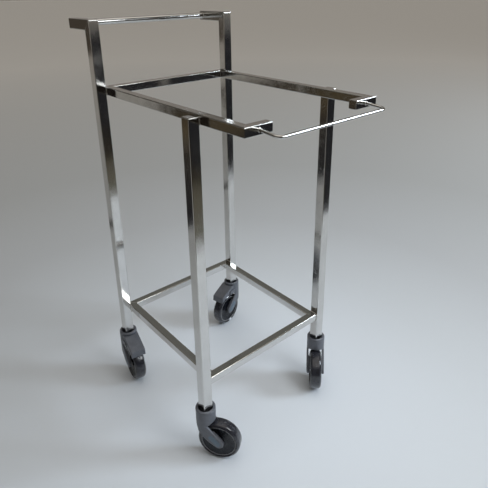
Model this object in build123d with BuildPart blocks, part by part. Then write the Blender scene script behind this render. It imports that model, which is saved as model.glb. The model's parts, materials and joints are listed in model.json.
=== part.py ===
from build123d import *
import os
from math import cos, radians, sin, sqrt

# Linen trolley: a welded stainless square-tube frame on four swivel casters.
# Millimetres, +Z up. The wire loop is at the front (-Y), the push handle at the rear (+Y).
# Sizes below count from the floor, midway between the four legs. Each piece is moved by
# MIDDLE_Y as it is saved, which puts the origin under the middle of the whole length.
MIDDLE_Y = 47.0

# ---- frame sizes ----
LEG = 25.0                 # leg, upright and handle-arm tube
RAIL = 20.0                # top and lower frame tube
WALL = 1.5
TUBE_CORNER = 2.0          # outer corner radius of every tube
LEG_X = 198.0              # leg centres
LEG_Y = 192.5
RAIL_OUT = LEG_X - LEG / 2  # side rails lie against the inner faces of the legs
TOP_Z = 862.0              # top face of the top frame
TOP_REAR = 198.0
TOP_FRONT = -335.0
RETURN_END = 118.5         # inner ends of the two short front returns
LOW_Z = 228.0              # top face of the lower frame
LOW_HALF = 201.0
FRONT_LEG_TOP = 858.0
HANDLE_TOP = 1019.0
HANDLE_REAR = 293.0
BAR_DIA = 16.0
BAR_INSET = 9.5            # bar centre ahead of the rear ends of the handle arms
WELD_ROUND = 3.0           # ground weld on the outer corner of each handle arm
CAP = 2.0                  # welded closing plates

# ---- wire loop ----
WIRE_DIA = 6.5
WIRE_X = 151.0
WIRE_ROOT_Z = TOP_Z - RAIL / 2
WIRE_REACH = 49.0
WIRE_DROP = 4.0
WIRE_BEND = 12.0

# ---- casters: local x runs from the swivel axis towards the axle ----
WHEEL_R = 53.0
WHEEL_HALF = 16.0
TRAIL = 34.0
CUP_R = 24.5
CUP_BORE = 18.5
RIM_Z = 145.0              # top of the cup that the leg drops into
CUP_FLOOR = 122.0
CUP_STRAIGHT = 112.0       # the cup is a cylinder down to here, then tapers into the crown
CUP_TAPER = 94.0
TAPER_R = 15.0
LEG_BOTTOM = 127.0
FORK_HALF = CUP_R          # outer faces of the fork arms, flush with the cup
ARM = 5.0
ARM_PAD_R = 36.0           # below the tyre's inner edge the arms are thicker, reaching in to here
ARM_PAD_IN = 16.0
ARMS_TOP = 104.0           # the fork is no wider than the cup above this
HINGE_ROOM = (30.0, 20.0)  # length and height of the space for the pedal's barrel
WHEEL_GAP = 3.5            # between tread and fork crown
AXLE_R = 4.0
AXLE_HALF = 22.5
PIN_R = 5.0
PIN_HEAD_R = 8.5
RUNNING = 0.05             # radial clearance of a running fit
APART = 0.3                # gap between faces that move past each other
BEARING_Z = 109.0
BEARING_TOP = 121.5
BEARING_R = 12.0
PLUG_TOP = 159.0
PLUG_SINK = 4.0            # the pin ends this far below the plug's top
PLUG_FLANGE = 3.0
PLUG_INSET = 0.3
PIN_BOTTOM = 104.0
TIP_R = 12.0
ARM_ROUND = 2.5
LIP_ROUND = 2.8
SPACER_R = 7.5
HUB_R = 44.0
HUB_HALF = 13.0
WEB = 3.0                  # half the thickness of the hub's web
BOSS_R = 15.0
BEARING_OUT = 11.0
SEAT = 5.8                 # inner end of each wheel bearing's seat
COVER_R = 40.5

# ---- brake pedal of the two rear casters ----
HINGE_X = 29.0
HINGE_Z = 118.0
HINGE_R = 5.0
HINGE_PIN_R = 2.0
HINGE_PIN_HALF = 22.5
EAR_R = 6.5
PEDAL_HALF = 21.0
PEDAL_TIP = 75.0
HOOD_BACK = (25.0, 138.0)  # top of the hood where it meets the cup
HOOD_CREST = (53.0, 126.5)
HOOD_NOSE_Z = 116.0
HOOD_OVER_EARS = 1.2       # hood above the hinge ears
HOOD_OFF_CUP = 1.2
PEDAL_NOSE = 6.0
PEDAL_ROUND = 3.0
NOSE_LIP = 4.0
PEDAL_CLEAR = 8.5          # pedal above the tread when it is up
SHOE_CLEAR = 5.8           # brake shoe above the tread when the pedal is up
SHOE_X = 56.0
SHOE_LENGTH = 16.0
SHOE_HALF = 12.0

CASTERS = {                # name: (leg x, leg y, direction from swivel axis to axle, brake)
    "front_left": (-LEG_X, -LEG_Y, -55.0, False),
    "front_right": (LEG_X, -LEG_Y, -136.0, False),
    "rear_left": (-LEG_X, LEG_Y, -98.0, True),
    "rear_right": (LEG_X, LEG_Y, -167.0, True),
}

os.makedirs("parts", exist_ok=True)


def save(part, name):
    placed = part.moved(Location((0, MIDDLE_Y, 0)))
    placed.label = name
    export_step(placed, f"parts/{name}.step")


# ---------------------------------------------------------------- frame tubes
def tube(start, end, size, meets_start=None, meets_end=None):
    """Square tube between two points. An end that meets another tube is mitred
    against that tube's direction, given pointing away from the corner."""
    first, last = Vector(*start), Vector(*end)
    along = (last - first).normalized()
    over = size / 2
    begin = first - along * (over if meets_start else 0)
    finish = last + along * (over if meets_end else 0)
    across = (1, 0, 0) if abs(along.Z) > 0.5 else (0, 0, 1)
    section = Plane(origin=begin, x_dir=across, z_dir=along)
    with BuildPart() as piece:
        with BuildSketch(section):
            RectangleRounded(size, size, TUBE_CORNER)
            RectangleRounded(size - 2 * WALL, size - 2 * WALL, TUBE_CORNER - WALL, mode=Mode.SUBTRACT)
        extrude(amount=(finish - begin).length)
        if meets_start:
            split(bisect_by=Plane(origin=first, z_dir=along - Vector(*meets_start)), keep=Keep.TOP)
        if meets_end:
            split(bisect_by=Plane(origin=last, z_dir=-along - Vector(*meets_end)), keep=Keep.TOP)
    return piece.part


def round_handle_corner(part):
    """Grinds the welded outer corner where an upright turns into its handle arm."""
    front = LEG_Y - LEG / 2
    depth = HANDLE_REAR - front
    with BuildPart() as piece:
        add(part)
        with BuildSketch(Plane.YZ.offset(-LEG_X - LEG)):
            with Locations((front + depth / 2, HANDLE_TOP / 2)):
                Rectangle(depth, HANDLE_TOP)
            corner = vertices().sort_by(Axis.Y)[-2:].sort_by(Axis.X)[0]
            fillet(corner, WELD_ROUND)
        extrude(amount=2 * (LEG_X + LEG), mode=Mode.INTERSECT)
    return piece.part


top_mid = TOP_Z - RAIL / 2
low_mid = LOW_Z - RAIL / 2
rail_x = RAIL_OUT - RAIL / 2
low_y = LOW_HALF - RAIL / 2
front_y = TOP_FRONT + RAIL / 2
rear_y = TOP_REAR - RAIL / 2
arm_z = HANDLE_TOP - LEG / 2
LEFTWARD, RIGHTWARD, FORWARD, REARWARD = (-1, 0, 0), (1, 0, 0), (0, -1, 0), (0, 1, 0)
DOWN = (0, 0, -1)

for side, sign in (("left", -1), ("right", 1)):
    inward = RIGHTWARD if sign < 0 else LEFTWARD
    leg_x = sign * LEG_X
    x = sign * rail_x
    save(tube((leg_x, -LEG_Y, LEG_BOTTOM), (leg_x, -LEG_Y, FRONT_LEG_TOP - CAP), LEG), f"front_leg_{side}")

    corner = (leg_x, LEG_Y, arm_z)
    upright = tube((leg_x, LEG_Y, LEG_BOTTOM), corner, LEG, meets_end=REARWARD)
    save(round_handle_corner(upright), f"rear_upright_{side}")
    arm = tube(corner, (leg_x, HANDLE_REAR - CAP, arm_z), LEG, meets_start=DOWN)
    save(round_handle_corner(arm), f"handle_arm_{side}")

    save(tube((x, front_y, top_mid), (x, rear_y, top_mid), RAIL, inward, inward), f"top_rail_{side}")
    end_x = sign * (RETURN_END + CAP)
    save(tube((x, front_y, top_mid), (end_x, front_y, top_mid), RAIL, meets_start=REARWARD), f"top_return_{side}")
    save(tube((x, -low_y, low_mid), (x, low_y, low_mid), RAIL, inward, inward), f"lower_rail_{side}")

save(tube((-rail_x, rear_y, top_mid), (rail_x, rear_y, top_mid), RAIL, FORWARD, FORWARD), "top_rail_rear")
save(tube((-rail_x, low_y, low_mid), (rail_x, low_y, low_mid), RAIL, FORWARD, FORWARD), "lower_rail_rear")
save(tube((-rail_x, -low_y, low_mid), (rail_x, -low_y, low_mid), RAIL, REARWARD, REARWARD), "lower_rail_front")

# ------------------------------------------------- closing plates of open tube ends
with BuildPart() as leg_top_caps:
    with BuildSketch(Plane.XY.offset(FRONT_LEG_TOP - CAP)):
        with Locations((-LEG_X, -LEG_Y), (LEG_X, -LEG_Y)):
            RectangleRounded(LEG, LEG, TUBE_CORNER)
    extrude(amount=CAP)
    fillet(faces().filter_by(Axis.Z).group_by(Axis.Z)[-1].edges(), CAP * 0.6)
save(leg_top_caps.part, "leg_top_caps")

with BuildPart() as handle_arm_caps:
    with BuildSketch(Plane.XZ.offset(-HANDLE_REAR)):
        with Locations((-LEG_X, arm_z), (LEG_X, arm_z)):
            RectangleRounded(LEG, LEG, TUBE_CORNER)
    extrude(amount=CAP)
    fillet(faces().filter_by(Axis.Y).group_by(Axis.Y)[-1].edges(), CAP * 0.6)
save(handle_arm_caps.part, "handle_arm_caps")

with BuildPart() as return_caps:
    for sign in (-1, 1):
        plate = Plane(origin=(sign * RETURN_END, front_y, top_mid), x_dir=(0, 1, 0), z_dir=(sign, 0, 0))
        with BuildSketch(plate):
            RectangleRounded(RAIL, RAIL, TUBE_CORNER)
        extrude(amount=CAP)
    inner_ends = [f for f in faces().filter_by(Axis.X) if abs(abs(f.center().X) - RETURN_END) < 0.01]
    fillet([edge for face in inner_ends for edge in face.edges()], CAP * 0.6)
save(return_caps.part, "return_caps")

# --------------------------------------------------------------- handle bar, wire loop
with BuildPart() as handle_bar:
    with BuildSketch(Plane.YZ):
        with Locations((HANDLE_REAR - BAR_INSET, arm_z)):
            Circle(BAR_DIA / 2)
            Circle(BAR_DIA / 2 - WALL, mode=Mode.SUBTRACT)
    extrude(amount=RAIL_OUT, both=True)
save(handle_bar.part, "handle_bar")

wire_front = TOP_FRONT - WIRE_REACH
with BuildPart() as wire_loop:
    with BuildLine() as wire_path:
        FilletPolyline(
            (-WIRE_X, TOP_FRONT, WIRE_ROOT_Z),
            (-WIRE_X, wire_front, WIRE_ROOT_Z - WIRE_DROP),
            (WIRE_X, wire_front, WIRE_ROOT_Z - WIRE_DROP),
            (WIRE_X, TOP_FRONT, WIRE_ROOT_Z),
            radius=WIRE_BEND,
        )
    with BuildSketch(Plane(origin=wire_path.line @ 0, z_dir=wire_path.line % 0)):
        Circle(WIRE_DIA / 2)
    sweep()
    split(bisect_by=Plane.XZ.offset(-TOP_FRONT), keep=Keep.TOP)
save(wire_loop.part, "wire_loop")

# ------------------------------------------------- what the legs hold for the casters
with BuildPart() as leg_plugs:
    with BuildSketch(Plane.XY.offset(LEG_BOTTOM)):
        with Locations(*[(x, y) for x, y, _, _ in CASTERS.values()]):
            RectangleRounded(LEG - 2 * WALL, LEG - 2 * WALL, TUBE_CORNER - WALL)
            Circle(PIN_R, mode=Mode.SUBTRACT)
    extrude(amount=PLUG_TOP - LEG_BOTTOM)
    with BuildSketch(Plane.XY.offset(LEG_BOTTOM)):
        with Locations(*[(x, y) for x, y, _, _ in CASTERS.values()]):
            RectangleRounded(LEG - 2 * PLUG_INSET, LEG - 2 * PLUG_INSET, TUBE_CORNER)
            Circle(PIN_R, mode=Mode.SUBTRACT)
    extrude(amount=-PLUG_FLANGE)
save(leg_plugs.part, "leg_plugs")

with BuildPart() as swivel_pins:
    spots = [(x, y) for x, y, _, _ in CASTERS.values()]
    steps = (
        (PIN_BOTTOM, BEARING_Z - APART, PIN_HEAD_R),
        (BEARING_Z - APART, PLUG_TOP - PLUG_SINK, PIN_R),
        (BEARING_TOP + APART, LEG_BOTTOM - PLUG_FLANGE, PIN_HEAD_R),
    )
    for low, high, radius in steps:
        with BuildSketch(Plane.XY.offset(low)):
            with Locations(*spots):
                Circle(radius)
        extrude(amount=high - low)
save(swivel_pins.part, "swivel_pins")


# ---------------------------------------------------------------------- casters
# Each caster piece is made once about its own swivel axis, with the wheel trailing
# along +X, and then set under its leg at its own heading.
def at_height(radius_from_axle, x):
    """Height at x of a circle about the axle."""
    return WHEEL_R + sqrt(radius_from_axle**2 - (x - TRAIL) ** 2)


def fork_outline():
    """Outline of the fork seen from the side, from the cup down to the axle and back."""
    tip_x, tip_z = TRAIL + 3, WHEEL_R + 1.5
    low = (tip_x - TIP_R * 0.6, tip_z - TIP_R * 0.8)
    bottom = (tip_x + TIP_R * 0.5, tip_z - TIP_R * sqrt(0.75))
    high = (tip_x + TIP_R * 0.8, tip_z + TIP_R * 0.6)
    notch = (8.5, ARMS_TOP)
    back = CUP_R - 1.5
    with BuildLine() as outline:
        Line((-back, CUP_FLOOR + 4), (-back, CUP_FLOOR))
        Spline((-back, CUP_FLOOR), (-22, 106), (-16, 90), (-4, 73), (10, 58.5), low, tangents=((0, -1), (0.86, -0.5)))
        ThreePointArc(low, bottom, high)
        Spline(high, (25, 86), notch, tangents=((-0.6, 0.8), (-0.6, 0.8)))
        Line(notch, (back, CUP_STRAIGHT))
        Line((back, CUP_STRAIGHT), (back, CUP_FLOOR + 4))
        Line((back, CUP_FLOOR + 4), (-back, CUP_FLOOR + 4))
    return outline.line


def rims_at(piece, half):
    """Edges of a piece that lie on its two side faces."""
    return [edge for edge in piece.edges() if abs(abs(edge.center().Y) - half) < 0.01]


def fork_housing(brake):
    """Cup, crown and two arms in one moulding; ears for the pedal hinge where there is a brake."""
    with BuildPart() as piece:
        with BuildSketch(Plane.XZ):
            make_face(fork_outline())
        extrude(amount=FORK_HALF, both=True)
        fillet(rims_at(piece, FORK_HALF), ARM_ROUND)
        with BuildSketch(Plane.XY):
            Circle(CUP_R)
            Rectangle(2 * TRAIL, 2 * FORK_HALF, align=(Align.MIN, Align.CENTER))
        extrude(amount=RIM_Z, mode=Mode.INTERSECT)
        with BuildSketch(Plane.XY.offset(ARMS_TOP)):
            Rectangle(4 * CUP_R, 4 * CUP_R)
            Circle(CUP_R, mode=Mode.SUBTRACT)
        extrude(amount=RIM_Z, mode=Mode.SUBTRACT)
        if brake:
            with BuildSketch(Plane.XZ):
                with Locations((HINGE_X - EAR_R, HINGE_Z)):
                    SlotCenterToCenter(2 * EAR_R, 2 * EAR_R)
            extrude(amount=FORK_HALF - 1.0, both=True)
        with BuildSketch(Plane.XY.offset(CUP_TAPER)):
            Circle(TAPER_R)
        with BuildSketch(Plane.XY.offset(CUP_STRAIGHT)):
            Circle(CUP_R)
        loft()
        with BuildSketch(Plane.XY.offset(CUP_STRAIGHT)):
            Circle(CUP_R)
        extrude(amount=RIM_Z - CUP_STRAIGHT)
        fillet(edges().group_by(Axis.Z)[-1], LIP_ROUND)
        with BuildSketch(Plane.XY.offset(CUP_FLOOR)):
            Circle(CUP_BORE)
        extrude(amount=RIM_Z, mode=Mode.SUBTRACT)
        with BuildSketch(Plane.XZ):
            with Locations((TRAIL, WHEEL_R)):
                Circle(WHEEL_R + WHEEL_GAP)
                Circle(ARM_PAD_R, mode=Mode.SUBTRACT)
            if brake:
                with Locations((CUP_R - 1.5, HINGE_Z)):
                    Rectangle(*HINGE_ROOM, align=(Align.MIN, Align.CENTER))
        extrude(amount=FORK_HALF - ARM, both=True, mode=Mode.SUBTRACT)
        with BuildSketch(Plane.XZ):
            with Locations((TRAIL, WHEEL_R)):
                Circle(ARM_PAD_R)
        extrude(amount=ARM_PAD_IN, both=True, mode=Mode.SUBTRACT)
        if brake:
            with BuildSketch(Plane.XZ):
                with Locations((HINGE_X, HINGE_Z)):
                    Circle(HINGE_PIN_R)
            extrude(amount=HINGE_PIN_HALF, both=True, mode=Mode.SUBTRACT)
        with BuildSketch(Plane.XY.offset(BEARING_Z)):
            Circle(BEARING_R)
        extrude(amount=RIM_Z, mode=Mode.SUBTRACT)
        with BuildSketch(Plane.XY):
            Circle(PIN_HEAD_R + APART)
        extrude(amount=RIM_Z, mode=Mode.SUBTRACT)
        with BuildSketch(Plane.XZ):
            with Locations((TRAIL, WHEEL_R)):
                Circle(AXLE_R)
        extrude(amount=AXLE_HALF, both=True, mode=Mode.SUBTRACT)
    return piece.part


def tyre_outline():
    """Tyre section as (along the axle, radius)."""
    bead, wall, tread = (HUB_HALF, HUB_R), (WHEEL_HALF - 0.6, HUB_R + 2.5), (WHEEL_HALF - 6.5, WHEEL_R - 0.5)
    shoulder = (WHEEL_HALF - 1.7, WHEEL_R - 4.2)
    with BuildLine() as outline:
        Line((-bead[0], bead[1]), bead)
        Line(bead, wall)
        ThreePointArc(wall, shoulder, tread)
        ThreePointArc(tread, (0, WHEEL_R), (-tread[0], tread[1]))
        ThreePointArc((-tread[0], tread[1]), (-shoulder[0], shoulder[1]), (-wall[0], wall[1]))
        Line((-wall[0], wall[1]), (-bead[0], bead[1]))
    return outline.line


def hub_outline():
    """Rim, thin web and boss, with a seat for a bearing at each end of the boss."""
    with BuildLine() as outline:
        Polyline(
            (-HUB_HALF, HUB_R), (HUB_HALF, HUB_R), (HUB_HALF, COVER_R), (WEB, COVER_R), (WEB, BOSS_R),
            (HUB_HALF, BOSS_R), (HUB_HALF, BEARING_OUT), (SEAT, BEARING_OUT), (SEAT, BEARING_OUT - 3),
            (-SEAT, BEARING_OUT - 3), (-SEAT, BEARING_OUT), (-HUB_HALF, BEARING_OUT), (-HUB_HALF, BOSS_R),
            (-WEB, BOSS_R), (-WEB, COVER_R), (-HUB_HALF, COVER_R), close=True,
        )
    return outline.line


def cover_outline(sign):
    """Dished disc between boss and rim, closing one side of the hub."""
    out, back, dish = sign * (HUB_HALF - 0.5), sign * (HUB_HALF - 2.5), sign * 2.0
    middle = (BOSS_R + COVER_R) / 2
    with BuildLine() as outline:
        Line((back, BOSS_R), (out, BOSS_R))
        ThreePointArc((out, BOSS_R), (out - dish, middle), (out, COVER_R))
        Line((out, COVER_R), (back, COVER_R))
        ThreePointArc((back, COVER_R), (back - dish, middle), (back, BOSS_R))
    return outline.line


AXLE_PLANE = Plane(origin=(TRAIL, 0, WHEEL_R), x_dir=(0, 1, 0), z_dir=(1, 0, 0))
AXLE_LINE = Axis((TRAIL, 0, WHEEL_R), (0, 1, 0))
AXLE_SIDE = Plane(origin=(TRAIL, 0, WHEEL_R), x_dir=(1, 0, 0), z_dir=(0, -1, 0))
HINGE_SIDE = Plane(origin=(HINGE_X, 0, HINGE_Z), x_dir=(1, 0, 0), z_dir=(0, -1, 0))


def turned(*outlines):
    """Solids turned about the axle."""
    with BuildPart() as piece:
        for outline in outlines:
            with BuildSketch(AXLE_PLANE):
                make_face(outline)
            revolve(axis=AXLE_LINE)
    return piece.part


def rings(plane, outer, inner, spans):
    """Rings about a plane's normal, one for each (near, far) span along it."""
    with BuildPart() as piece:
        for near, far in spans:
            with BuildSketch(plane.offset(near)):
                Circle(outer)
                Circle(inner, mode=Mode.SUBTRACT)
            extrude(amount=far - near)
    return piece.part


def rod(plane, radius, half):
    with BuildPart() as piece:
        with BuildSketch(plane):
            Circle(radius)
        extrude(amount=half, both=True)
    return piece.part


def brake_pedal():
    """Hood from the cup to over the tyre, hollowed to the tyre's curve, with a barrel round the hinge pin."""
    near = HINGE_X + EAR_R + 0.8
    over_ears = HINGE_Z + EAR_R + HOOD_OVER_EARS
    reach = WHEEL_R + PEDAL_CLEAR
    tip_low = at_height(reach, PEDAL_TIP)
    with BuildPart() as piece:
        with BuildSketch(Plane.XZ):
            with BuildLine():
                Polyline((0, HOOD_BACK[1]), HOOD_BACK, HOOD_CREST, (PEDAL_TIP - 1, HOOD_NOSE_Z),
                         (PEDAL_TIP + 1, tip_low + NOSE_LIP), (PEDAL_TIP - 2, WHEEL_R), (near, WHEEL_R),
                         (near, over_ears), (0, over_ears), close=True)
            make_face()
            tip = vertices().sort_by(Axis.X)[-2:].sort_by(Axis.Y)[-1]
            fillet(tip, PEDAL_NOSE)
        extrude(amount=PEDAL_HALF, both=True)
        upper = [edge for edge in rims_at(piece, PEDAL_HALF) if edge.center().Z > tip_low + 5 and edge.center().X > near]
        fillet(upper, PEDAL_ROUND)
        with BuildSketch(Plane.XZ):
            with Locations((TRAIL, WHEEL_R)):
                Circle(reach)
        extrude(amount=PEDAL_HALF, both=True, mode=Mode.SUBTRACT)
        with BuildSketch(Plane.XY):
            Circle(CUP_R + HOOD_OFF_CUP)
        extrude(amount=RIM_Z, mode=Mode.SUBTRACT)
        with BuildSketch(Plane.XZ):
            with Locations((HINGE_X, HINGE_Z)):
                Circle(HINGE_R)
            with Locations((HINGE_X - 2, HINGE_Z)):
                Rectangle(near + 4 - HINGE_X, over_ears + 1 - HINGE_Z, align=Align.MIN)
        extrude(amount=FORK_HALF - ARM - APART, both=True)
        with BuildSketch(Plane.XZ):
            with Locations((HINGE_X, HINGE_Z)):
                Circle(HINGE_PIN_R + RUNNING)
        extrude(amount=FORK_HALF, both=True, mode=Mode.SUBTRACT)
    return piece.part


def brake_shoe():
    """Pad under the pedal, curved to the tyre."""
    with BuildPart() as piece:
        with BuildSketch(Plane.XZ):
            with Locations((TRAIL, WHEEL_R)):
                Circle(WHEEL_R + PEDAL_CLEAR)
                Circle(WHEEL_R + SHOE_CLEAR, mode=Mode.SUBTRACT)
            with Locations((SHOE_X, WHEEL_R + 60)):
                Rectangle(SHOE_LENGTH, 60, mode=Mode.INTERSECT)
        extrude(amount=SHOE_HALF, both=True)
    return piece.part


spacer = (HUB_HALF + APART, ARM_PAD_IN)
seat = (SEAT, HUB_HALF - 0.2)
every_caster = {
    "swivel_bearing": rings(Plane.XY, BEARING_R, PIN_R + RUNNING, [(BEARING_Z, BEARING_TOP)]),
    "axle": rod(AXLE_SIDE, AXLE_R, AXLE_HALF),
    "axle_spacers": rings(AXLE_SIDE, SPACER_R, AXLE_R, [spacer, (-spacer[1], -spacer[0])]),
    "wheel_hub": turned(hub_outline()),
    "tyre": turned(tyre_outline()),
    "hub_covers": turned(cover_outline(-1), cover_outline(1)),
    "wheel_bearings": rings(AXLE_SIDE, BEARING_OUT, AXLE_R + RUNNING, [seat, (-seat[1], -seat[0])]),
}
plain_caster = {"fork_housing": fork_housing(brake=False)}
braked_caster = {
    "fork_housing": fork_housing(brake=True),
    "brake_pedal": brake_pedal(),
    "brake_shoe": brake_shoe(),
    "pedal_pin": rod(HINGE_SIDE, HINGE_PIN_R, HINGE_PIN_HALF),
}

for caster, (leg_x, leg_y, heading, has_brake) in CASTERS.items():
    under_leg = Location((leg_x, leg_y, 0), (0, 0, heading))
    pieces = every_caster | (braked_caster if has_brake else plain_caster)
    for piece_name, piece in pieces.items():
        save(piece.moved(under_leg), f"{piece_name}_{caster}")
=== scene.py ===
import json
import math
import bpy
from mathutils import Matrix, Vector


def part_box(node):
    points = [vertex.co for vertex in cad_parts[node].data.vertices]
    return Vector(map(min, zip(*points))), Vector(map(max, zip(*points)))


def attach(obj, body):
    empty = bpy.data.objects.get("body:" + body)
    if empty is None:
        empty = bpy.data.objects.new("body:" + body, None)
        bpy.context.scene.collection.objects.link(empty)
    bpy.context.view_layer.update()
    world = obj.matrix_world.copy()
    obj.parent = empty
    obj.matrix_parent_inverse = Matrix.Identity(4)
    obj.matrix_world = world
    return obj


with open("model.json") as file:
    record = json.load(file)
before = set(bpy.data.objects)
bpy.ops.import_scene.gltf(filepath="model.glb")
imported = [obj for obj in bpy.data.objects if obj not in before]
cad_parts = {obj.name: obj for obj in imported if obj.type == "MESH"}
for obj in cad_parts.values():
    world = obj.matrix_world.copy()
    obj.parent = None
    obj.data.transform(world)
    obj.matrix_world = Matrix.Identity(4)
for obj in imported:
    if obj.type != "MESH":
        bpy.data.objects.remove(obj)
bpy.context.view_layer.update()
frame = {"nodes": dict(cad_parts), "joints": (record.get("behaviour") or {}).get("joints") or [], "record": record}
nodes = frame["nodes"]
joints = {joint["name"]: joint for joint in frame["joints"]}
CASTERS = ("front_left", "front_right", "rear_left", "rear_right")
BRAKED = ("rear_left", "rear_right")


# ------------------------------------------------------------------ node helpers
class Tree:
    """A node tree with short calls for adding and joining nodes."""

    def __init__(self, tree):
        self.tree = tree

    def add(self, kind, inputs=None, **settings):
        node = self.tree.nodes.new(kind)
        for key, value in settings.items():
            setattr(node, key, value)
        for key, value in (inputs or {}).items():
            if isinstance(value, bpy.types.NodeSocket):
                self.tree.links.new(value, node.inputs[key])
            else:
                node.inputs[key].default_value = value
        return node

    def maths(self, operation, a, b=0.0):
        return self.add("ShaderNodeMath", {0: a, 1: b}, operation=operation).outputs[0]

    def ramp(self, value, *stops):
        """Colour ramp; each stop is (place, grey or rgb)."""
        node = self.add("ShaderNodeValToRGB", {"Fac": value})
        elements = node.color_ramp.elements
        while len(elements) < len(stops):
            elements.new(0.5)
        for element, (place, colour) in zip(elements, stops):
            element.position = place
            rgb = colour if isinstance(colour, tuple) else (colour, colour, colour)
            element.color = (*rgb, 1.0)
        return node.outputs["Color"]

    def noise(self, vector, scale, detail=3.0, roughness=0.5):
        values = {"Vector": vector, "Scale": scale, "Detail": detail, "Roughness": roughness}
        return self.add("ShaderNodeTexNoise", values).outputs["Fac"]

    def stretched(self, vector, scale, turn=(0, 0, 0)):
        values = {"Vector": vector, "Scale": scale, "Rotation": turn}
        return self.add("ShaderNodeMapping", values).outputs["Vector"]

    def mix(self, factor, a, b):
        node = self.add("ShaderNodeMix", {0: factor}, data_type="RGBA")
        for socket, value in ((node.inputs[6], a), (node.inputs[7], b)):
            if isinstance(value, bpy.types.NodeSocket):
                self.tree.links.new(value, socket)
            else:
                socket.default_value = (*value, 1.0)
        return node.outputs[2]

    def bump(self, height, distance, strength=1.0, below=None):
        values = {"Height": height, "Distance": distance, "Strength": strength}
        if below is not None:
            values["Normal"] = below
        return self.add("ShaderNodeBump", values).outputs["Normal"]


def new_material(name, **shader_values):
    """Material, its tree, its shader and the point on the object, in metres."""
    mat = bpy.data.materials.new(name)
    mat.use_nodes = True
    tree = Tree(mat.node_tree)
    shader = mat.node_tree.nodes["Principled BSDF"]
    for key, value in shader_values.items():
        shader.inputs[key.replace("_", " ")].default_value = value
    point = tree.add("ShaderNodeTexCoord").outputs["Object"]
    return mat, tree, shader, point


def join(tree, shader, **sockets):
    for key, socket in sockets.items():
        tree.tree.links.new(socket, shader.inputs[key.replace("_", " ")])


# --------------------------------------------------------------------- materials
STEEL_TINT = (0.69, 0.68, 0.66)


def polished_steel(name, axis):
    """Mirror-polished tube: faint drawing lines along its axis, smudges and hairline scratches."""
    mat, tree, shader, point = new_material(name, Metallic=1.0)
    along = [520.0, 520.0, 520.0]
    along[axis] = 3.0
    lines = tree.noise(tree.stretched(point, along), 1.0, 4.0, 0.6)
    waves = tree.noise(point, 16.0, 2.0, 0.4)
    smudges = tree.noise(point, 22.0, 7.0, 0.62)
    scratched = tree.noise(tree.stretched(point, (900.0, 40.0, 60.0), (0.4, 0.9, 0.3)), 1.0, 2.0)
    hairlines = tree.ramp(scratched, (0.66, 0.0), (0.70, 1.0), (0.74, 0.0))
    blur = tree.ramp(smudges, (0.38, 0.055), (0.62, 0.13))
    blur = tree.maths("ADD", blur, tree.maths("MULTIPLY", hairlines, 0.10))
    blur = tree.maths("ADD", blur, tree.maths("MULTIPLY", lines, 0.05))
    film = tree.ramp(smudges, (0.40, STEEL_TINT), (0.75, tuple(c * 0.90 for c in STEEL_TINT)))
    relief = tree.bump(waves, 0.00035, 0.5)
    relief = tree.bump(lines, 0.000012, 0.6, relief)
    join(tree, shader, Base_Color=film, Roughness=blur, Normal=relief)
    return mat


def weld_metal(name):
    """Ground weld: straw and grey heat tint, fine ripple."""
    mat, tree, shader, point = new_material(name, Metallic=1.0)
    tint = tree.noise(point, 160.0, 3.0)
    straw, bright, burnt = (0.50, 0.47, 0.42), (0.60, 0.58, 0.55), (0.44, 0.41, 0.38)
    colour = tree.ramp(tint, (0.35, straw), (0.55, bright), (0.7, burnt))
    ripple = tree.noise(point, 900.0, 2.0)
    blur = tree.ramp(tint, (0.3, 0.20), (0.7, 0.38))
    join(tree, shader, Base_Color=colour, Roughness=blur, Normal=tree.bump(ripple, 0.00012))
    return mat


def grey_plastic(name, tone):
    """Moulded satin plastic: fine grain, slight mottling, scuffs and dust low down."""
    mat, tree, shader, point = new_material(name, IOR=1.5, Coat_Weight=0.12, Coat_Roughness=0.22)
    mottle = tree.noise(point, 70.0, 5.0, 0.6)
    light = tuple(c * 1.16 for c in tone)
    dark = tuple(c * 0.88 for c in tone)
    body = tree.ramp(mottle, (0.35, dark), (0.5, tone), (0.68, light))
    height = tree.add("ShaderNodeSeparateXYZ", {0: point}).outputs["Z"]
    low = tree.add("ShaderNodeMapRange", {0: height, 1: 0.11, 2: 0.04, 3: 0.0, 4: 0.30}).outputs[0]
    specks = tree.ramp(tree.noise(point, 240.0, 6.0, 0.7), (0.45, 0.0), (0.70, 1.0))
    dusty = tree.maths("MULTIPLY", low, specks)
    colour = tree.mix(dusty, body, (0.26, 0.25, 0.235))
    grain = tree.noise(point, 1700.0, 2.0, 0.6)
    scraped = tree.noise(tree.stretched(point, (60.0, 60.0, 700.0), (0.5, 0.2, 0)), 1.0, 2.0)
    scuffs = tree.ramp(scraped, (0.64, 0.0), (0.7, 1.0))
    blur = tree.ramp(mottle, (0.3, 0.36), (0.7, 0.48))
    blur = tree.maths("ADD", blur, tree.maths("MULTIPLY", scuffs, 0.10))
    relief = tree.bump(grain, 0.00005, 0.8)
    join(tree, shader, Base_Color=colour, Roughness=blur, Normal=relief)
    return mat


def about_wheel(tree, point, place):
    """Radius from the axle and distance along it, for a material on one wheel."""
    values = {"Vector": point, "Location": place.translation, "Rotation": place.to_euler()}
    local = tree.add("ShaderNodeMapping", values, vector_type="TEXTURE").outputs["Vector"]
    x, y, z = tree.add("ShaderNodeSeparateXYZ", {0: local}).outputs
    squares = [tree.maths("MULTIPLY", value, value) for value in (x, z)]
    radius = tree.maths("SQRT", tree.maths("ADD", *squares))
    return radius, y


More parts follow.
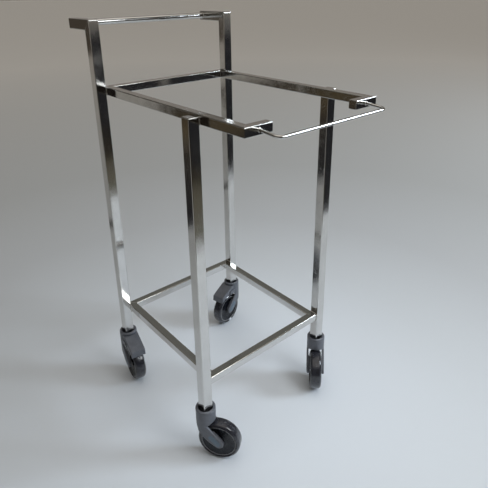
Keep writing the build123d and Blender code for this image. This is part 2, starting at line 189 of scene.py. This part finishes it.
def black_plastic(name, place):
    """Glossy black wheel centre with fine turning rings and light handling marks."""
    mat, tree, shader, point = new_material(name, IOR=1.38, Coat_Weight=0.06, Coat_Roughness=0.15)
    radius, _ = about_wheel(tree, point, place)
    marks = tree.noise(point, 90.0, 6.0, 0.65)
    colour = tree.ramp(marks, (0.35, (0.0045, 0.0055, 0.0085)), (0.7, (0.010, 0.0115, 0.016)))
    turned = tree.maths("SINE", tree.maths("MULTIPLY", radius, 9000.0))
    blur = tree.ramp(marks, (0.3, 0.20), (0.72, 0.36))
    relief = tree.bump(turned, 0.000008, 0.5)
    relief = tree.bump(tree.noise(point, 1500.0, 2.0), 0.00002, 0.5, relief)
    join(tree, shader, Base_Color=colour, Roughness=blur, Normal=relief)
    return mat


def tyre_rubber(name, place):
    """Smooth, shiny dark-grey rubber: handling marks and a mould line round its middle."""
    mat, tree, shader, point = new_material(name, IOR=1.48, Coat_Weight=0.55, Coat_Roughness=0.05)
    _, along = about_wheel(tree, point, place)
    marks = tree.noise(point, 130.0, 6.0, 0.65)
    colour = tree.ramp(marks, (0.35, (0.018, 0.0185, 0.024)), (0.7, (0.031, 0.032, 0.041)))
    blur = tree.ramp(marks, (0.3, 0.15), (0.7, 0.25))
    middle = tree.maths("ABSOLUTE", along)
    seam = tree.add("ShaderNodeMapRange", {0: middle, 1: 0.0, 2: 0.0006, 3: 1.0, 4: 0.0}).outputs[0]
    relief = tree.bump(seam, 0.00025, 0.8)
    relief = tree.bump(tree.noise(point, 700.0, 4.0, 0.6), 0.00006, 0.6, relief)
    join(tree, shader, Base_Color=colour, Roughness=blur, Normal=relief)
    return mat


def zinc_steel(name):
    """Zinc-plated pins and bearings: mottled plating with turning marks."""
    mat, tree, shader, point = new_material(name, Metallic=1.0)
    mottle = tree.noise(point, 300.0, 4.0)
    colour = tree.ramp(mottle, (0.3, (0.42, 0.43, 0.45)), (0.7, (0.60, 0.60, 0.60)))
    rings = tree.noise(tree.stretched(point, (60.0, 60.0, 2400.0)), 1.0, 2.0)
    join(tree, shader, Base_Color=colour, Roughness=tree.ramp(mottle, (0.3, 0.22), (0.7, 0.40)),
         Normal=tree.bump(rings, 0.00002))
    return mat


def painted_rim_highlight(name):
    """Pale grey moulded ring: its pale colour is a painted highlight of the hub rim's edge; slightly marked."""
    mat, tree, shader, point = new_material(name, IOR=1.5)
    marks = tree.noise(point, 220.0, 5.0, 0.6)
    colour = tree.ramp(marks, (0.35, (0.145, 0.147, 0.155)), (0.7, (0.20, 0.20, 0.205)))
    join(tree, shader, Base_Color=colour, Roughness=tree.ramp(marks, (0.3, 0.30), (0.7, 0.44)),
         Normal=tree.bump(tree.noise(point, 1600.0, 2.0), 0.00003))
    return mat


steel = [polished_steel(f"polished_stainless_{letter}", axis) for axis, letter in enumerate("xyz")]
weld = weld_metal("ground_weld")
plastic = grey_plastic("grey_plastic", (0.113, 0.121, 0.142))
# The arm panels' bluish tone is a painted light-blue reflection of the fork arms, laid over the plastic's grey.
panel_reflection_tint = grey_plastic("arm_panel_painted_reflection", (0.095, 0.140, 0.185))
highlight_ring = painted_rim_highlight("painted_rim_highlight")
zinc = zinc_steel("zinc_steel")

# -------------------------------------------------- where each caster and wheel is
caster_at, wheel_at = {}, {}
for caster in CASTERS:
    swivel = Vector(joints[f"swivel_{caster}"]["pos_m"])
    axle = Vector(joints[f"roll_{caster}"]["pos_m"])
    heading = math.atan2(axle.y - swivel.y, axle.x - swivel.x)
    turn = Matrix.Rotation(heading, 4, "Z")
    caster_at[caster] = Matrix.Translation((swivel.x, swivel.y, 0)) @ turn
    wheel_at[caster] = Matrix.Translation(axle) @ turn

# The axis that each tube lies along: 0 is X and 1 is Y. All the others stand along Z.
ALONG = {"top_rail_left": 1, "top_rail_right": 1, "lower_rail_left": 1, "lower_rail_right": 1,
         "handle_arm_left": 1, "handle_arm_right": 1, "top_rail_rear": 0, "lower_rail_front": 0,
         "lower_rail_rear": 0, "top_return_left": 0, "top_return_right": 0, "return_caps": 0,
         "handle_bar": 0, "wire_loop": 0}


def paint(name, mat):
    for material_slot in nodes[name].material_slots:
        material_slot.material = mat


for name in frame["record"]["behaviour"]["bodies"]["frame"]:
    paint(name, steel[ALONG.get(name, 2)])
paint("leg_plugs", plastic)
paint("swivel_pins", zinc)
for caster in CASTERS:
    centre = black_plastic(f"black_plastic_{caster}", wheel_at[caster])
    paint(f"tyre_{caster}", tyre_rubber(f"tyre_rubber_{caster}", wheel_at[caster]))
    for part in ("wheel_hub", "hub_covers"):
        paint(f"{part}_{caster}", centre)
    paint(f"fork_housing_{caster}", plastic)
    for part in ("swivel_bearing", "axle", "axle_spacers", "wheel_bearings"):
        paint(f"{part}_{caster}", zinc)
for caster in BRAKED:
    paint(f"brake_pedal_{caster}", plastic)
    paint(f"brake_shoe_{caster}", black_plastic(f"shoe_plastic_{caster}", wheel_at[caster]))
    paint(f"pedal_pin_{caster}", zinc)


# ------------------------------------------------------------------ piece helpers
RING_TURNS = 96


def mesh_piece(name, points, faces, body, mat):
    mesh = bpy.data.meshes.new(name)
    mesh.from_pydata([tuple(p) for p in points], [], faces)
    mesh.validate()
    mesh.shade_smooth()
    piece = bpy.data.objects.new(name, mesh)
    bpy.context.scene.collection.objects.link(piece)
    mesh.materials.append(mat)
    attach(piece, body)
    return piece


BEAD_SIDES = 8


def bead(name, path, radius, ripple):
    """Weld bead along a closed path; ripple makes its scale pattern."""
    points, faces = [], []
    count, sides = len(path), BEAD_SIDES
    for i, here in enumerate(path):
        forward = (path[(i + 1) % count] - path[i - 1]).normalized()
        side = forward.orthogonal().normalized()
        other = forward.cross(side)
        grown = radius * (1.0 + ripple * math.sin(i * 1.9) + 0.5 * ripple * math.sin(i * 0.7 + 1.0))
        for k in range(sides):
            angle = 2 * math.pi * k / sides
            points.append(here + grown * (math.cos(angle) * side + math.sin(angle) * other))
    for i in range(count):
        for k in range(sides):
            j, m = (i + 1) % count, (k + 1) % sides
            faces.append((i * sides + k, i * sides + m, j * sides + m, j * sides + k))
    return mesh_piece(name, points, faces, "frame", weld)


def along_edges(corners, step):
    """Evenly spaced points round a closed polygon."""
    path = []
    for start, end in zip(corners, corners[1:] + corners[:1]):
        parts = max(2, round((end - start).length / step))
        path += [start.lerp(end, i / parts) for i in range(parts)]
    return path


def circle_path(centre, normal, radius, count):
    side = normal.orthogonal().normalized()
    other = normal.cross(side)
    angles = [2 * math.pi * i / count for i in range(count)]
    return [centre + radius * (math.cos(angle) * side + math.sin(angle) * other) for angle in angles]


def turned_ring(name, outlines, caster):
    """Closed outlines of (place along the axle, radius), turned about the axle."""
    points, faces = [], []
    place, turns = wheel_at[caster], RING_TURNS
    for outline in outlines:
        base, size = len(points), len(outline)
        for i in range(turns):
            angle = 2 * math.pi * i / turns
            for y, r in outline:
                points.append(place @ Vector((r * math.cos(angle), y, r * math.sin(angle))))
        for i in range(turns):
            for k in range(size):
                a, b = base + i * size, base + (i + 1) % turns * size
                faces.append((a + k, a + (k + 1) % size, b + (k + 1) % size, b + k))
    return mesh_piece(name, points, faces, f"wheel_{caster}", highlight_ring)


# ------------------------------------------------------------- welds of the frame
RAIL_WELD_R, RAIL_WELD_STEP, RAIL_WELD_RIPPLE = 0.0013, 0.0011, 0.14
SEAM_R, SEAM_STEP, SEAM_RIPPLE = 0.00028, 0.002, 0.2
BAR_WELD_R, BAR_WELD_OUT, BAR_WELD_OFF, BAR_WELD_POINTS = 0.0010, 0.0002, 0.0005, 44
WIRE_R = 0.00325           # half the wire's thickness
WIRE_WELD_R, WIRE_WELD_OUT, WIRE_WELD_OFF = 0.0011, 0.0003, 0.0002
WIRE_WELD_RIPPLE, WIRE_WELD_POINTS = 0.16, 28
CAP_SEAM_R, CAP_SEAM_INSET = 0.0004, 0.02
SKIN = 0.0001              # a seam's path lies this far inside the faces that it follows
TUBE_ROUND = 0.0005        # and this far at a tube's rounded edge
INNER_SHARE = 0.2          # the part of that which is used in the inner corner of a mitre
ARM_ROUND = 0.0012         # and this far at the handle arm's ground corner


def span(a, b):
    """The range that two (low, high) ranges share."""
    return max(a[0], b[0]), min(a[1], b[1])


LEGS = {"front_left": "front_leg_left", "front_right": "front_leg_right",
        "rear_left": "rear_upright_left", "rear_right": "rear_upright_right"}
for spot, leg in LEGS.items():
    side = spot.split("_")[1]
    for rail in (f"top_rail_{side}", f"lower_rail_{side}"):
        (leg_low, leg_high), (rail_low, rail_high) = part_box(leg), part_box(rail)
        x = leg_low[0] if side == "right" else leg_high[0]
        y0, y1 = span((leg_low[1], leg_high[1]), (rail_low[1], rail_high[1]))
        z0, z1 = span((leg_low[2], leg_high[2]), (rail_low[2], rail_high[2]))
        corners = [Vector((x, y0, z0)), Vector((x, y1, z0)), Vector((x, y1, z1)), Vector((x, y0, z1))]
        path = along_edges(corners, RAIL_WELD_STEP)
        bead(f"weld_{rail}_{spot}", path, RAIL_WELD_R, RAIL_WELD_RIPPLE)


def mitre_loop(low, high, x_sign, y_sign):
    """Corners of the mitre section of a level corner whose outer corner is at the signs given."""
    outer = Vector((high[0] if x_sign > 0 else low[0], high[1] if y_sign > 0 else low[1], 0))
    inner = outer - Vector((x_sign, y_sign, 0)) * (high[2] - low[2])
    trim = Vector((x_sign, y_sign, 0)) * TUBE_ROUND
    bottom, top = low[2] + SKIN, high[2] - SKIN
    return [Vector((*(outer - trim).xy, bottom)), Vector((*(outer - trim).xy, top)),
            Vector((*(inner - trim * INNER_SHARE).xy, top)), Vector((*(inner - trim * INNER_SHARE).xy, bottom))]


for level in ("top", "lower"):
    for x_sign, y_sign in ((-1, -1), (1, -1), (-1, 1), (1, 1)):
        side = "left" if x_sign < 0 else "right"
        end = "front" if y_sign < 0 else "rear"
        low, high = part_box(f"{level}_rail_{side}")
        path = along_edges(mitre_loop(low, high, x_sign, y_sign), SEAM_STEP)
        bead(f"mitre_{level}_{side}_{end}", path, SEAM_R, SEAM_RIPPLE)

for side in ("left", "right"):
    up_low, up_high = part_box(f"rear_upright_{side}")
    size = up_high[0] - up_low[0]
    x0, x1 = up_low[0] + SKIN, up_high[0] - SKIN
    top, front = up_high[2] - ARM_ROUND, up_low[1] + ARM_ROUND
    outer, inner = (front, top), (up_low[1] + size - SKIN, up_high[2] - size - SKIN)
    corners = [Vector((x0, *outer)), Vector((x1, *outer)), Vector((x1, *inner)), Vector((x0, *inner))]
    bead(f"mitre_handle_{side}", along_edges(corners, SEAM_STEP), SEAM_R, SEAM_RIPPLE)

bar_low, bar_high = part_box("handle_bar")
wire_low, wire_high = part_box("wire_loop")
bar_r = (bar_high[2] - bar_low[2]) / 2
for side, sign in (("left", -1), ("right", 1)):
    arm_low, arm_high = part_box(f"handle_arm_{side}")
    face_x = (arm_high[0] if sign < 0 else arm_low[0]) - sign * BAR_WELD_OFF
    centre = Vector((face_x, (bar_low[1] + bar_high[1]) / 2, (bar_low[2] + bar_high[2]) / 2))
    path = circle_path(centre, Vector((1, 0, 0)), bar_r + BAR_WELD_OUT, BAR_WELD_POINTS)
    bead(f"weld_handle_bar_{side}", path, BAR_WELD_R, RAIL_WELD_RIPPLE)
    return_low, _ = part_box(f"top_return_{side}")
    root_x = (wire_low[0] + WIRE_R) if sign < 0 else (wire_high[0] - WIRE_R)
    root = Vector((root_x, return_low[1] - WIRE_WELD_OFF, wire_high[2] - WIRE_R))
    path = circle_path(root, Vector((0, 1, 0)), WIRE_R + WIRE_WELD_OUT, WIRE_WELD_POINTS)
    bead(f"weld_wire_{side}", path, WIRE_WELD_R, WIRE_WELD_RIPPLE)

caps_low, caps_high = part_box("leg_top_caps")
size = caps_high[1] - caps_low[1]
for side, sign in (("left", -1), ("right", 1)):
    x0, x1 = (caps_low[0], caps_low[0] + size) if sign < 0 else (caps_high[0] - size, caps_high[0])
    corners = [Vector((x0, caps_low[1], caps_low[2])), Vector((x1, caps_low[1], caps_low[2])),
               Vector((x1, caps_high[1], caps_low[2])), Vector((x0, caps_high[1], caps_low[2]))]
    middle = sum(corners, Vector()) / 4
    inset = [corner.lerp(middle, CAP_SEAM_INSET) for corner in corners]
    bead(f"seam_leg_cap_{side}", along_edges(inset, SEAM_STEP), CAP_SEAM_R, SEAM_RIPPLE)

# ------------------------------------------------------------------ caster details
# Section of the pale ring on the wheel's side face, whose pale colour paints the rim edge's highlight: (distance
# from the middle, radius).
RING = ((0.0128, 0.0412), (0.0134, 0.0415), (0.0137, 0.0424),
        (0.0137, 0.0434), (0.0134, 0.0442), (0.0128, 0.0444))
# Inset panel on each fork arm: the ends of its middle line from the axle, its half width, how
# far it goes on past those ends, how square its corners are and its layers.
PANEL_START, PANEL_END = Vector((-0.0165, 0, 0.0205)), Vector((0.0025, 0, 0.0012))
PANEL_HALF, PANEL_CAP, PANEL_POWER, PANEL_SIDES = 0.0072, 0.004, 0.32, 48
PANEL_LAYERS = ((0.0240, 0.0), (0.0246, 0.0), (0.0248, 0.0005))  # (distance from the middle, drawn in by)


def rounded_box_loop(angle, half_long, half_wide):
    """Point of a rounded rectangle at an angle, as (along, across)."""
    c, s = math.cos(angle), math.sin(angle)
    along = half_long * math.copysign(abs(c) ** PANEL_POWER, c)
    return along, half_wide * math.copysign(abs(s) ** PANEL_POWER, s)


for caster in CASTERS:
    turned_ring(f"rim_ring_{caster}", [[(sign * y, r) for y, r in RING] for sign in (-1, 1)], caster)

    place, sides = caster_at[caster], PANEL_SIDES
    hub = place.inverted() @ wheel_at[caster].translation
    start, end = hub + PANEL_START, hub + PANEL_END
    way = (end - start).normalized()
    cross = Vector((-way.z, 0, way.x))
    half_long = (end - start).length / 2 + PANEL_CAP
    panel_points, panel_faces = [], []
    for sign in (-1, 1):
        base = len(panel_points)
        for y, shrink in PANEL_LAYERS:
            for k in range(sides):
                angle = 2 * math.pi * k / sides
                along, across = rounded_box_loop(angle, half_long - shrink, PANEL_HALF - shrink)
                local = (start + end) / 2 + way * along + cross * across + Vector((0, sign * y, 0))
                panel_points.append(place @ local)
        last = len(PANEL_LAYERS) - 1
        for row in range(last):
            for k in range(sides):
                m = (k + 1) % sides
                panel_faces.append((base + row * sides + k, base + row * sides + m,
                                    base + (row + 1) * sides + m, base + (row + 1) * sides + k))
        panel_faces.append(tuple(base + last * sides + k for k in range(sides)))
    mesh_piece(f"arm_panels_{caster}", panel_points, panel_faces, f"caster_{caster}", panel_reflection_tint)

# -------------------------------------------------------------------------- stage
SHEET_Z = 0.002            # the dark sheets lie just above the floor


def flat_sheet(name, corners, z, mat):
    mesh = bpy.data.meshes.new(name)
    mesh.from_pydata([(x, y, z) for x, y in corners], [], [tuple(range(len(corners)))])
    mesh.materials.append(mat)
    sheet = bpy.data.objects.new(name, mesh)
    bpy.context.scene.collection.objects.link(sheet)
    return sheet


# The floor's colour paints the fall of light over it: palest and bluest next to the trolley, darkest about 1 to 3
# m from it, lighter and warmer far off; the faint patches are its own.
floor_mat, tree, shader, point = new_material("floor_painted_light", Roughness=0.85)
away = tree.add("ShaderNodeVectorMath", {0: point}, operation="LENGTH").outputs["Value"]
reach = tree.add("ShaderNodeMapRange", {0: away, 1: 0.3, 2: 7.0, 3: 0.0, 4: 1.0}).outputs[0]
pale = tree.ramp(reach, (0.0, (0.71, 0.76, 0.82)), (0.06, (0.60, 0.635, 0.67)), (0.12, (0.52, 0.54, 0.56)),
                 (0.24, (0.49, 0.50, 0.50)), (0.43, (0.56, 0.56, 0.55)), (1.0, (0.76, 0.735, 0.70)))
patches = tree.maths("MULTIPLY", tree.noise(point, 2.2, 3.0), 0.06)
join(tree, shader, Base_Color=tree.mix(patches, pale, (0.5, 0.5, 0.5)),
     Normal=tree.bump(tree.noise(point, 300.0, 3.0), 0.0002, 0.3))
flat_sheet("floor", ((-60, -60), (60, -60), (60, 60), (-60, 60)), 0.0, floor_mat)


def sheet_glow(name, start_y, end_y, *stops):
    """Faint glow that changes from start_y to end_y, for a sheet seen only in reflections."""
    mat = bpy.data.materials.new(name)
    mat.use_nodes = True
    tree = Tree(mat.node_tree)
    mat.node_tree.nodes.remove(mat.node_tree.nodes["Principled BSDF"])
    point = tree.add("ShaderNodeTexCoord").outputs["Object"]
    y_place = tree.add("ShaderNodeSeparateXYZ", {0: point}).outputs["Y"]
    depth = tree.add("ShaderNodeMapRange", {0: y_place, 1: start_y, 2: end_y, 3: 0.0, 4: 1.0}).outputs[0]
    glow = tree.add("ShaderNodeEmission", {"Color": tree.ramp(depth, *stops)})
    tree.tree.links.new(glow.outputs[0], mat.node_tree.nodes["Material Output"].inputs["Surface"])
    return mat


# Painted reflections: dark glowing sheets round the stage, seen only as reflections in the polished tubes.
front_glow = sheet_glow("painted_reflection", -0.95, -4.0, (0.0, (0.125, 0.12, 0.095)), (0.20, (0.10, 0.092, 0.07)),
                        (0.27, (0.020, 0.016, 0.012)), (1.0, (0.012, 0.010, 0.009)))
side_glow = sheet_glow("dark_cloth_side", 0.9, 4.0, (0.0, (0.018, 0.018, 0.020)),
                       (0.30, (0.030, 0.026, 0.022)), (0.45, (0.080, 0.062, 0.036)),
                       (0.72, (0.022, 0.018, 0.014)), (1.0, (0.055, 0.045, 0.035)))
SHEETS = {
    "front": (((-9, -14), (1.0, -14), (1.0, -0.90), (0.78, -1.06), (-9, -1.06)), front_glow),
    "side": (((-0.76, 0.90), (-0.85, 1.05), (-2.35, 3.62), (-9.0, 3.62), (-9.0, 0.90)), side_glow),
    "edge": (((-0.84, 1.165), (-0.48, 1.165), (-0.48, 1.235), (-0.84, 1.235)), side_glow),
    "far": (((-14, 7.5), (1.0, 7.5), (1.0, 50), (-14, 50)), side_glow),
    "right": (((1.0, -14), (11, -14), (11, -0.90), (1.0, -0.90)), side_glow),
}
for place_name, (corners, mat) in SHEETS.items():
    sheet = flat_sheet(f"dark_cloth_{place_name}", corners, SHEET_Z, mat)
    for way_seen in ("camera", "diffuse", "transmission", "volume_scatter", "shadow"):
        setattr(sheet, f"visible_{way_seen}", False)

world = bpy.data.worlds.new("studio")
bpy.context.scene.world = world
world.use_nodes = True
sky = Tree(world.node_tree)
direction = sky.add("ShaderNodeTexCoord").outputs["Generated"]
upward = sky.add("ShaderNodeSeparateXYZ", {0: direction}).outputs["Z"]
towards = {0: direction, 1: (0.64, 0.77, 0.0)}
facing = sky.add("ShaderNodeVectorMath", towards, operation="DOT_PRODUCT").outputs["Value"]
facing = sky.add("ShaderNodeMapRange", {0: facing, 1: 0.45, 2: 0.80, 3: 0.0, 4: 1.0}).outputs[0]
ceiling_stops = (0.72, (0.18, 0.18, 0.165)), (0.84, (1.05, 1.0, 0.93))
wall = sky.ramp(upward, (0.0, (0.30, 0.275, 0.25)), (0.32, (0.29, 0.265, 0.24)), (0.52, (0.165, 0.165, 0.15)),
                *ceiling_stops)
dark = sky.ramp(upward, (0.0, (0.040, 0.032, 0.022)), (0.5, (0.07, 0.062, 0.05)), *ceiling_stops)
whole_sky = sky.mix(facing, dark, wall)
seen = sky.add("ShaderNodeLightPath").outputs["Is Camera Ray"]
final_sky = sky.mix(seen, whole_sky, (0.305, 0.277, 0.238))
sky.tree.links.new(final_sky, world.node_tree.nodes["Background"].inputs["Color"])
world.node_tree.nodes["Background"].inputs["Strength"].default_value = 0.78


def soft_light(name, place, aim, width, height, power, colour):
    data = bpy.data.lights.new(name, "AREA")
    data.shape = "RECTANGLE"
    data.size, data.size_y, data.energy, data.color = width, height, power, colour
    light = bpy.data.objects.new(name, data)
    light.location = place
    light.rotation_mode = "QUATERNION"
    light.rotation_quaternion = (Vector(aim) - Vector(place)).to_track_quat("-Z", "Y")
    bpy.context.scene.collection.objects.link(light)
    return light


soft_light("window", (4.0, -3.3, 2.7), (0.2, 0.0, 0.1), 1.3, 1.6, 165, (0.80, 0.90, 1.0))
soft_light("front_fill", (0.35, -1.35, 1.4), (0.15, -0.85, 0.0), 0.8, 0.8, 11, (0.93, 0.97, 1.0))
overhead = soft_light("overhead", (0.6, -0.6, 3.4), (0.1, -0.1, 0.0), 1.6, 1.6, 8, (1.0, 0.98, 0.95))
overhead.visible_glossy = False

# ------------------------------------------------------------------------- camera
YAW, PITCH, ROLL = -0.693, -0.378, -0.018
CAMERA_AT = (-0.7125, -0.9034, 1.0847)
ahead = Vector((-math.sin(YAW) * math.cos(PITCH), math.cos(YAW) * math.cos(PITCH), math.sin(PITCH)))
right = Vector((math.cos(YAW), math.sin(YAW), 0))
up = right.cross(ahead)
turned_right = math.cos(ROLL) * right + math.sin(ROLL) * up
turned_up = -math.sin(ROLL) * right + math.cos(ROLL) * up
camera = bpy.data.objects.new("camera", bpy.data.cameras.new("camera"))
bpy.context.scene.collection.objects.link(camera)
turn = Matrix((turned_right, turned_up, -ahead)).transposed().to_4x4()
camera.matrix_world = Matrix.Translation(CAMERA_AT) @ turn
camera.data.sensor_width = 36.0
camera.data.lens = 36.54
camera.data.shift_x, camera.data.shift_y = 0.0120, -0.1256
camera.data.clip_end = 200.0
bpy.context.scene.camera = camera
bpy.context.scene.view_settings.view_transform = "Standard"
